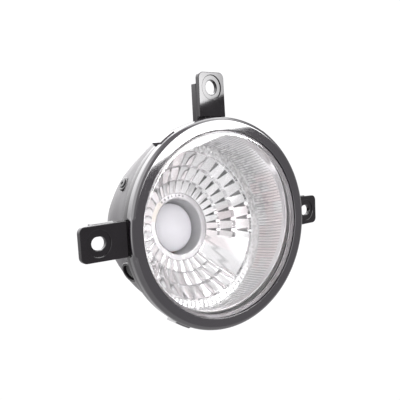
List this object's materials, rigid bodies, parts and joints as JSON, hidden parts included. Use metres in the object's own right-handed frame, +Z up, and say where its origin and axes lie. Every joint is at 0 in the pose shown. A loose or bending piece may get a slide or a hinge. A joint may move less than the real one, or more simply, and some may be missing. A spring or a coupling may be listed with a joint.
{
  "type": "fog light",
  "caption": "Round fog light with three fixing ears, clear lens, stepped and fluted reflector, twist-in bulb holder and rear aim screw.",
  "frame": {"origin": "midway between the two side fixing holes, on the front face of the fixing ears", "axes": "+Z up, lamp faces -Y, +X to the right as seen from the front; the beam axis rises 8 degrees towards the front"},
  "size_m": [0.1586, 0.1032, 0.1326],
  "materials": {
    "housing_black": "gloss",
    "bezel_black": "gloss",
    "lens_clear": "gloss",
    "black_rubber": "satin",
    "nylon": "satin",
    "vent_black": "satin",
    "membrane_white": "satin",
    "mirror_coat": "gloss",
    "steel": "satin",
    "zinc_steel": "satin",
    "holder_black": "satin",
    "silicone_red": "satin",
    "brass": "satin",
    "pearl_glass": "gloss",
    "stem_glass": "gloss",
    "tungsten": "satin",
    "black_glass": "gloss",
    "solder": "satin"
  },
  "bodies": {
    "lamp_body": {"housing": "housing_black", "bezel_ring": "bezel_black", "lens": "lens_clear", "lens_gasket": "black_rubber", "pivot_bushes": "nylon", "vent_cap": "vent_black", "vent_membrane": "membrane_white", "drain_plug": "black_rubber"},
    "reflector_unit": {"reflector": "mirror_coat", "pivot_pins": "steel", "neck_seal": "black_rubber", "bulb_seat_ring": "zinc_steel", "seat_ring_screws": "zinc_steel"},
    "bulb_unit": {"bulb_holder": "holder_black", "holder_gasket": "silicone_red", "connector_terminals": "brass", "contact_plate": "brass", "contact_spring": "steel", "earth_contact": "brass", "bulb_globe": "pearl_glass", "bulb_stem": "stem_glass", "bulb_support_wires": "steel", "bulb_filament": "tungsten", "bulb_cap": "brass", "bulb_cap_pins": "brass", "bulb_insulator": "black_glass", "bulb_end_contact": "solder"},
    "aim_screw_unit": {"aim_screw": "zinc_steel", "aim_screw_oring": "black_rubber", "aim_screw_washer": "steel"},
    "aim_nut_unit": {"aim_nut": "nylon"}
  },
  "joints": [
    {"name": "aim_screw_turn", "type": "hinge", "parent": "lamp_body", "child": "aim_screw_unit", "pos_m": [0, 0.04493, -0.03902], "axis": [0, 0.9903, -0.1392], "range_deg": [-540, 540]},
    {"name": "aim_nut_slide", "type": "slide", "parent": "lamp_body", "child": "aim_nut_unit", "axis": [0, 0.9903, -0.1392], "range_m": [-0.0012, 0.0012]},
    {"name": "reflector_tilt", "type": "hinge", "parent": "lamp_body", "child": "reflector_unit", "pos_m": [0, 0.008, 0], "axis": [1, 0, 0], "range_deg": [-2.05, 2.05]},
    {"name": "bulb_twist", "type": "hinge", "parent": "reflector_unit", "child": "bulb_unit", "pos_m": [0, 0.04959, -0.00585], "axis": [0, 0.9903, -0.1392], "range_deg": [0, 40]}
  ],
  "couplings": [
    {"joint": "aim_screw_turn", "follows": "reflector_tilt", "ratio": 263.11},
    {"joint": "aim_nut_slide", "follows": "reflector_tilt", "m_per_rad": 0.0335}
  ]
}
